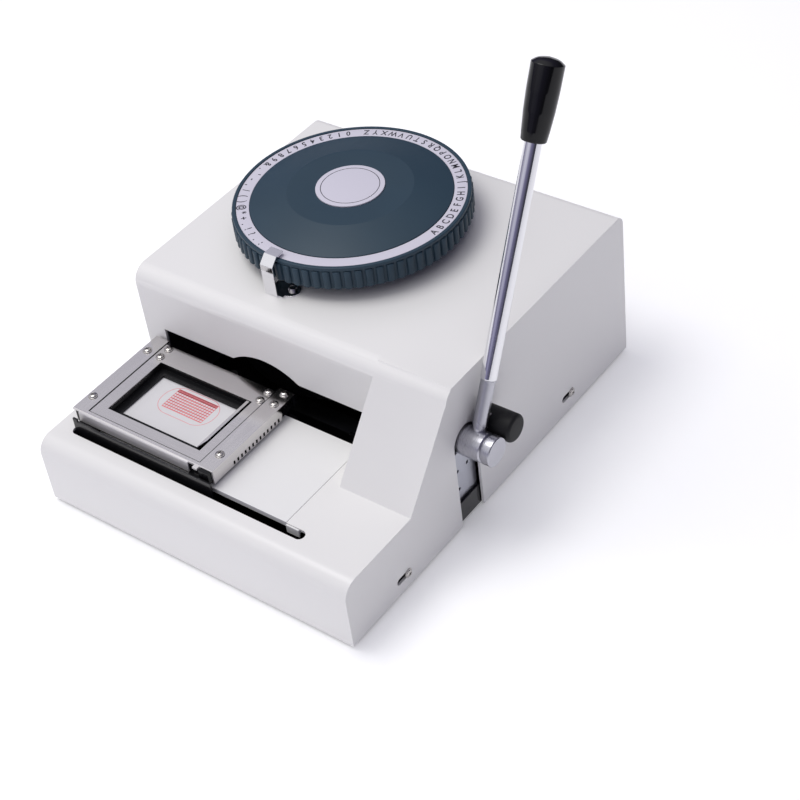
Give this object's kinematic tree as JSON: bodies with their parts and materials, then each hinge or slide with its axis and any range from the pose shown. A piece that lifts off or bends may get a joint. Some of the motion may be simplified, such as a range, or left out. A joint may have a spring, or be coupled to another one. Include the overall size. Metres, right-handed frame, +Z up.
{
  "type": "manual card embossing machine",
  "caption": "Hand-lever embossing machine: lettered dial over a pale box cover, side press lever and a sliding steel carriage that holds a card or metal tag.",
  "frame": {"origin": "middle of the cover's footprint, on the table under the feet", "axes": "+X to the lever side (right), +Y to the back, +Z up"},
  "size_m": [0.2958, 0.334, 0.3044],
  "materials": {
    "cover_paint": "satin",
    "deck_white": "satin",
    "black_pan": "satin",
    "rubber": "matte",
    "zinc_plate": "satin",
    "black_frame": "matte",
    "bronze": "satin",
    "steel": "satin",
    "tool_steel": "satin",
    "stainless": "satin",
    "chrome": "polished",
    "screw": "polished",
    "dial_teal": "satin",
    "label": "satin",
    "hub_satin": "satin",
    "grip_black": "gloss",
    "spring_wire": "satin",
    "black_plastic": "satin",
    "card_white": "satin"
  },
  "bodies": {
    "housing": {"cover_shell": "cover_paint", "deck_plate": "deck_white", "base_pan": "black_pan", "rubber_feet": "rubber", "cover_screws": "screw", "side_plate_right": "zinc_plate", "side_plate_left": "zinc_plate", "inner_bearing_plate": "zinc_plate", "top_bridge": "black_frame", "shaft_bushes": "bronze", "dial_bearings": "steel", "bearing_block": "black_frame", "pivot_brackets": "black_frame", "pivot_pins": "steel", "pivot_posts": "steel", "guide_rods": "steel", "rod_brackets": "black_frame", "pointer_bracket": "chrome", "lever_bumper": "rubber", "trim_screws": "screw"},
    "type_head": {"dial_disc": "dial_teal", "label_ring": "label", "dial_cap": "label", "dial_shaft": "steel", "type_wheel": "tool_steel", "die_wheel": "tool_steel", "index_wheel": "steel", "shaft_collars": "steel", "type_punches": "tool_steel", "type_dies": "tool_steel"},
    "press_lever": {"main_shaft": "steel", "lever_hub": "hub_satin", "hub_cap": "hub_satin", "lever_stud": "chrome", "lever_rod": "chrome", "lever_grip": "grip_black", "upper_cam": "tool_steel", "lower_cam": "tool_steel", "lever_spring": "spring_wire"},
    "upper_rocker": {"upper_press_arm": "tool_steel", "upper_roller": "steel", "upper_roller_pin": "steel"},
    "lower_rocker": {"lower_press_arm": "tool_steel", "lower_roller": "steel", "lower_roller_pin": "steel"},
    "carriage": {"carriage_body": "black_plastic", "carriage_skirt": "black_pan", "carriage_top_plate": "stainless", "rail_screws": "screw", "carriage_blocks": "black_frame", "linear_bushes": "bronze", "feed_rack": "steel"},
    "card_table": {"card_plate": "stainless", "card_tray": "black_plastic", "guide_card": "card_white", "plate_screws": "screw"},
    "clip_strip": {"card_clip": "stainless"},
    "line_release": {"release_bar": "black_plastic"},
    "rack_pawl": {"feed_pawl": "tool_steel"},
    "dial_detent": {"detent_arm": "tool_steel"}
  },
  "joints": [
    {"name": "lever_pull", "type": "hinge", "parent": "housing", "child": "press_lever", "pos_m": [0.1, -0.0325, 0.0735], "axis": [1, 0, 0], "range_deg": [0, 70], "stiffness_Nm_per_rad": 0.35, "springref_deg": -20.05},
    {"name": "upper_arm_rock", "type": "hinge", "parent": "housing", "child": "upper_rocker", "pos_m": [0.045, -0.028, 0.102], "axis": [0, 1, 0], "range_deg": [-3, 0]},
    {"name": "lower_arm_rock", "type": "hinge", "parent": "housing", "child": "lower_rocker", "pos_m": [0.045, -0.028, 0.029], "axis": [0, 1, 0], "range_deg": [0, 3]},
    {"name": "dial_spin", "type": "hinge", "parent": "housing", "child": "type_head", "pos_m": [-0.0239, 0.0672, 0.08], "axis": [0, 0, 1], "continuous": true},
    {"name": "carriage_slide", "type": "slide", "parent": "housing", "child": "carriage", "axis": [1, 0, 0], "range_m": [0, 0.07]},
    {"name": "line_slide", "type": "slide", "parent": "carriage", "child": "card_table", "axis": [0, 1, 0], "range_m": [0, 0.07]},
    {"name": "clip_slide", "type": "slide", "parent": "card_table", "child": "clip_strip", "axis": [1, 0, 0], "range_m": [0, 0.0012], "stiffness_N_per_m": 400, "springref_m": -0.0004},
    {"name": "release_turn", "type": "hinge", "parent": "carriage", "child": "line_release", "pos_m": [-0.002, -0.13, 0.0614], "axis": [0, 1, 0], "range_deg": [-8, 0], "stiffness_Nm_per_rad": 0.02, "springref_deg": 5.73},
    {"name": "pawl_swing", "type": "hinge", "parent": "housing", "child": "rack_pawl", "pos_m": [-0.062, -0.041, 0.049], "axis": [0, 0, 1], "range_deg": [-8, 0], "stiffness_Nm_per_rad": 0.02, "springref_deg": 5.73},
    {"name": "detent_swing", "type": "hinge", "parent": "housing", "child": "dial_detent", "pos_m": [0.0275, 0.0746, 0.094], "axis": [0, 0, 1], "range_deg": [-6, 0], "stiffness_Nm_per_rad": 0.05, "springref_deg": 5.73}
  ],
  "couplings": [
    {"joint": "upper_arm_rock", "follows": "lever_pull", "ratio": -0.042814},
    {"joint": "lower_arm_rock", "follows": "lever_pull", "ratio": 0.042814}
  ]
}
